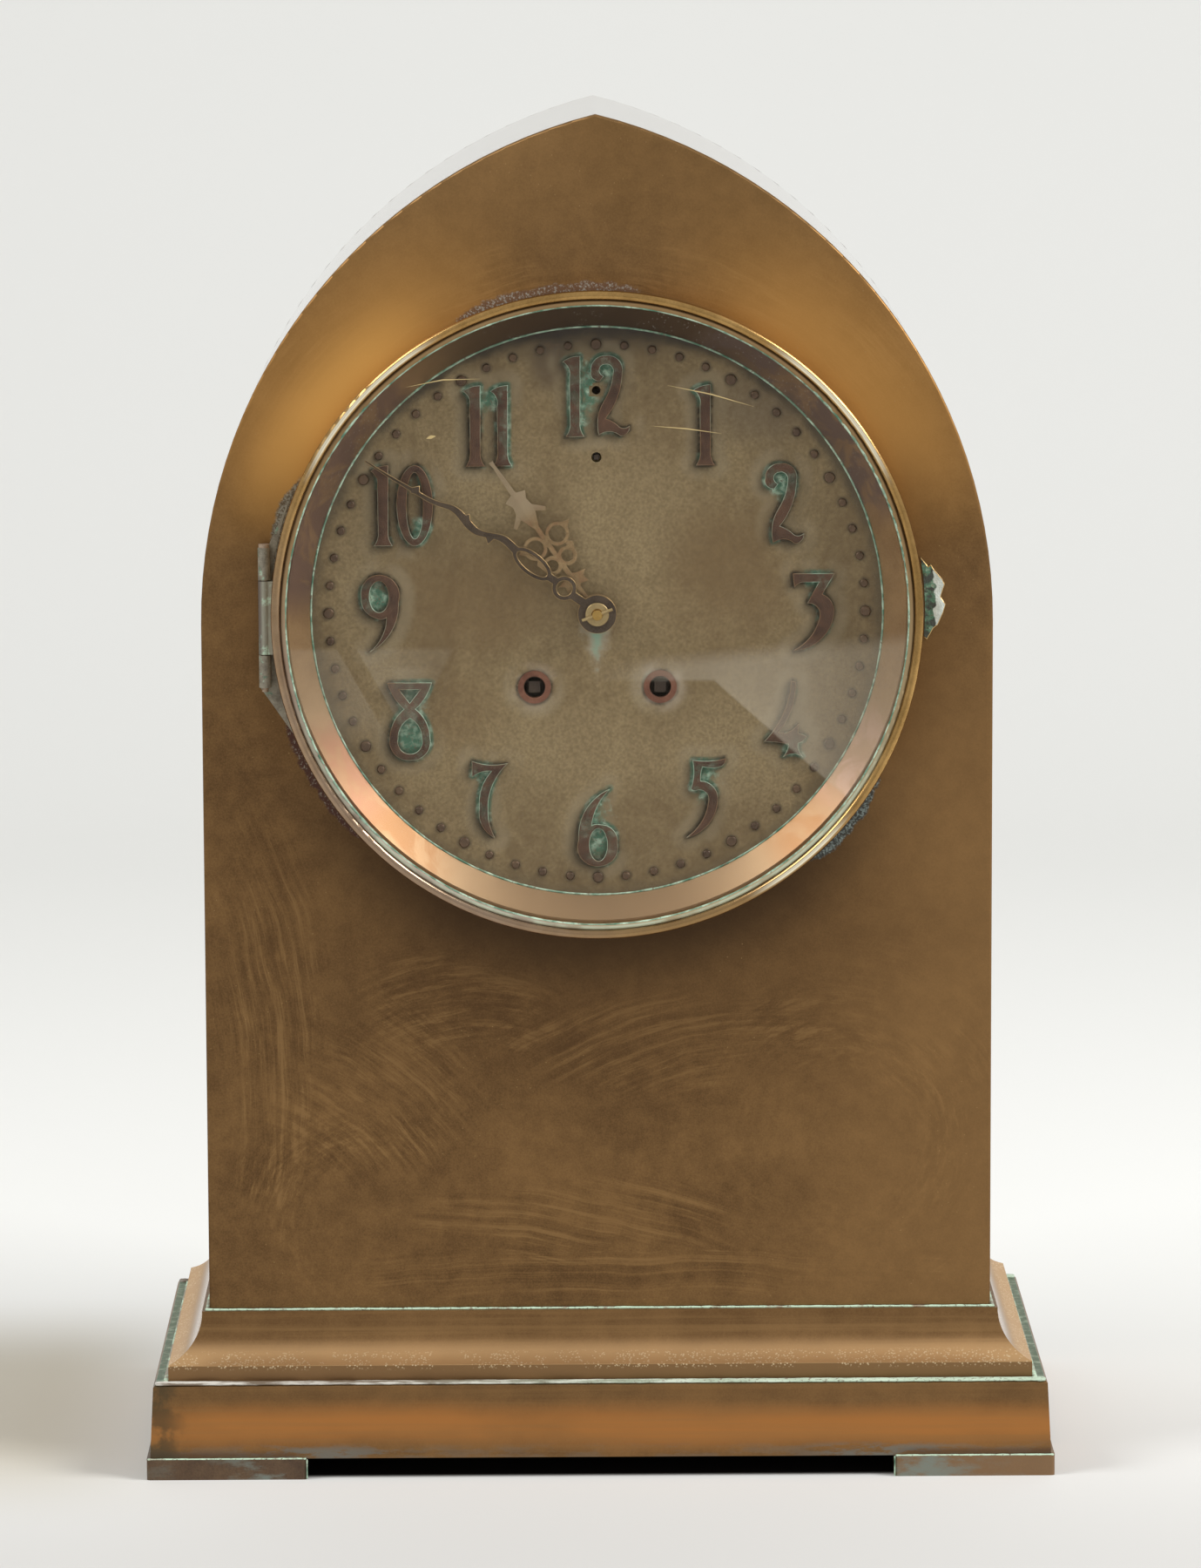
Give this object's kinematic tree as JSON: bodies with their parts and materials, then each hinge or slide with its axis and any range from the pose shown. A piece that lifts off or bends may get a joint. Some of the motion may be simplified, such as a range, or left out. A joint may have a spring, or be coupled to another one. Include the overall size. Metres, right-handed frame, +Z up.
{
  "type": "mantel clock",
  "caption": "Free-standing brass mantel clock with a pointed-arch case on a moulded base, hinged glazed bezel, applied numerals, pierced hands and a striking spring movement.",
  "frame": {"origin": "on the table under the middle of the feet", "axes": "+Z up, the dial faces -Y, +X to the viewer's right"},
  "size_m": [0.2546, 0.1396, 0.38],
  "materials": {
    "case_brass": "worn and tarnished",
    "copper_toned_brass": "copper-toned",
    "glass": "clear, lightly scratched",
    "dial_brass": "mottled patina",
    "red_bronze": "red-brown",
    "dark_bronze": "dark",
    "steel": "blued grey",
    "bell_metal": "polished",
    "movement_brass": "polished"
  },
  "bodies": {
    "case": {"case_band": "case_brass", "front_plate": "case_brass", "back_panel": "case_brass", "cove_moulding": "case_brass", "plinth": "case_brass", "feet": "case_brass", "base_bolts_and_nuts": "steel", "reveal_ring": "copper_toned_brass", "dial_plate": "dial_brass", "dial_screws": "steel", "winding_collars": "copper_toned_brass", "minute_studs": "red_bronze", "hour_numerals": "red_bronze", "bezel_hinge_leaf": "case_brass", "bezel_hinge_pin": "steel", "catch_plate": "case_brass", "rear_hinge_leaves": "case_brass", "rear_hinge_pins": "steel", "movement_front_plate": "movement_brass", "movement_back_plate": "movement_brass", "movement_pillars": "movement_brass", "dial_feet": "movement_brass", "minute_wheel_post": "steel", "click_studs_and_springs": "steel", "suspension_cock": "movement_brass", "bell": "bell_metal", "bell_stand": "steel"},
    "bezel": {"bezel_ring": "case_brass", "bezel_glass": "glass", "glass_retainer": "case_brass", "bezel_hinge_knuckle": "case_brass"},
    "rear_door": {"rear_door": "case_brass"},
    "rear_latch": {"rear_latch": "case_brass"},
    "centre": {"centre_wheel": "movement_brass", "cannon_pinion": "movement_brass", "minute_hand": "dark_bronze", "hand_washer": "case_brass", "hand_pin": "steel"},
    "minute_wheel": {"minute_wheel": "movement_brass"},
    "hour": {"hour_wheel": "movement_brass", "hour_hand": "case_brass"},
    "second_wheel": {"second_wheel": "movement_brass"},
    "time_barrel": {"time_barrel": "movement_brass", "time_mainspring": "steel"},
    "third_wheel": {"third_wheel": "movement_brass"},
    "escape_wheel": {"escape_wheel": "movement_brass"},
    "pallets": {"pallet_anchor": "movement_brass"},
    "pendulum": {"pendulum_rod": "movement_brass", "pendulum_bob": "movement_brass"},
    "time_winding": {"time_winding_arbor": "steel"},
    "strike_winding": {"strike_winding_arbor": "steel"},
    "time_click": {"time_click": "steel"},
    "strike_click": {"strike_click": "steel"},
    "strike_barrel": {"strike_barrel": "movement_brass", "strike_mainspring": "steel"},
    "strike_second_wheel": {"strike_second_wheel": "movement_brass"},
    "pin_wheel": {"strike_pin_wheel": "movement_brass"},
    "fly": {"strike_fly": "movement_brass"},
    "hammer": {"strike_hammer": "steel"},
    "regulator": {"regulator_arbor": "steel"}
  },
  "joints": [
    {"name": "bezel_hinge", "type": "hinge", "parent": "case", "child": "bezel", "pos_m": [-0.0922, -0.0549, 0.2415], "axis": [0, 0, -1], "range_deg": [0, 110]},
    {"name": "rear_door_hinge", "type": "hinge", "parent": "case", "child": "rear_door", "pos_m": [-0.0714, 0.0547, 0.196], "axis": [0, 0, 1], "range_deg": [0, 110]},
    {"name": "rear_latch_turn", "type": "hinge", "parent": "rear_door", "child": "rear_latch", "pos_m": [0.058, 0.0548, 0.196], "axis": [0, 1, 0], "range_deg": [0, 90]},
    {"name": "hands_turn", "type": "hinge", "parent": "case", "child": "centre", "pos_m": [0, -0.02, 0.242], "axis": [0, 1, 0], "continuous": true},
    {"name": "minute_wheel_turn", "type": "hinge", "parent": "case", "child": "minute_wheel", "pos_m": [0, -0.02, 0.2564], "axis": [0, 1, 0], "continuous": true},
    {"name": "hour_turn", "type": "hinge", "parent": "case", "child": "hour", "pos_m": [0, -0.02, 0.242], "axis": [0, 1, 0], "continuous": true},
    {"name": "second_wheel_turn", "type": "hinge", "parent": "case", "child": "second_wheel", "pos_m": [0.0179, -0.02, 0.2401], "axis": [0, 1, 0], "continuous": true},
    {"name": "time_barrel_turn", "type": "hinge", "parent": "case", "child": "time_barrel", "pos_m": [0.0175, -0.02, 0.2211], "axis": [0, 1, 0], "continuous": true},
    {"name": "third_wheel_turn", "type": "hinge", "parent": "case", "child": "third_wheel", "pos_m": [-0.01221, -0.02, 0.25467], "axis": [0, 1, 0], "continuous": true},
    {"name": "escape_wheel_turn", "type": "hinge", "parent": "case", "child": "escape_wheel", "pos_m": [0, -0.02, 0.2665], "axis": [0, 1, 0], "continuous": true},
    {"name": "pendulum_swing", "type": "hinge", "parent": "case", "child": "pendulum", "pos_m": [0, -0.02, 0.2785], "axis": [0, 1, 0], "range_deg": [-3, 3]},
    {"name": "pallets_swing", "type": "hinge", "parent": "case", "child": "pallets", "pos_m": [0, -0.02, 0.2785], "axis": [0, 1, 0], "range_deg": [-3, 3]},
    {"name": "time_winding_turn", "type": "hinge", "parent": "case", "child": "time_winding", "pos_m": [0.0175, -0.02, 0.2211], "axis": [0, 1, 0], "range_deg": [0, 1690]},
    {"name": "strike_winding_turn", "type": "hinge", "parent": "case", "child": "strike_winding", "pos_m": [-0.0175, -0.02, 0.2211], "axis": [0, 1, 0], "range_deg": [0, 1690]},
    {"name": "time_click_lift", "type": "hinge", "parent": "case", "child": "time_click", "pos_m": [0.029, -0.02, 0.2151], "axis": [0, 1, 0], "range_deg": [0, 12], "stiffness_Nm_per_rad": 0.005, "springref_deg": -5.73},
    {"name": "strike_click_lift", "type": "hinge", "parent": "case", "child": "strike_click", "pos_m": [-0.029, -0.02, 0.2151], "axis": [0, 1, 0], "range_deg": [-12, 0], "stiffness_Nm_per_rad": 0.005, "springref_deg": 5.73},
    {"name": "strike_run", "type": "hinge", "parent": "case", "child": "pin_wheel", "pos_m": [-0.03055, -0.02, 0.253], "axis": [0, 1, 0], "continuous": true},
    {"name": "strike_second_turn", "type": "hinge", "parent": "case", "child": "strike_second_wheel", "pos_m": [-0.024, -0.02, 0.23895], "axis": [0, 1, 0], "continuous": true},
    {"name": "strike_barrel_turn", "type": "hinge", "parent": "case", "child": "strike_barrel", "pos_m": [-0.0175, -0.02, 0.2211], "axis": [0, 1, 0], "continuous": true},
    {"name": "fly_turn", "type": "hinge", "parent": "case", "child": "fly", "pos_m": [-0.02755, -0.02, 0.26421], "axis": [0, 1, 0], "continuous": true},
    {"name": "hammer_lift", "type": "hinge", "parent": "case", "child": "hammer", "pos_m": [-0.044, -0.02, 0.244], "axis": [0, 1, 0], "range_deg": [0, 14], "stiffness_Nm_per_rad": 0.02, "springref_deg": -11.46},
    {"name": "regulator_turn", "type": "hinge", "parent": "case", "child": "regulator", "pos_m": [0, -0.02, 0.2852], "axis": [0, 1, 0], "range_deg": [-180, 180]}
  ],
  "couplings": [
    {"joint": "minute_wheel_turn", "follows": "hands_turn", "ratio": -0.33333},
    {"joint": "hour_turn", "follows": "hands_turn", "ratio": 0.083333},
    {"joint": "second_wheel_turn", "follows": "hands_turn", "ratio": -0.16129},
    {"joint": "time_barrel_turn", "follows": "hands_turn", "ratio": 0.024438},
    {"joint": "third_wheel_turn", "follows": "hands_turn", "ratio": -10},
    {"joint": "escape_wheel_turn", "follows": "hands_turn", "ratio": 75},
    {"joint": "pallets_swing", "follows": "pendulum_swing", "ratio": 1},
    {"joint": "strike_second_turn", "follows": "strike_run", "ratio": -0.14815},
    {"joint": "strike_barrel_turn", "follows": "strike_run", "ratio": 0.022447},
    {"joint": "fly_turn", "follows": "strike_run", "ratio": -6.25}
  ]
}
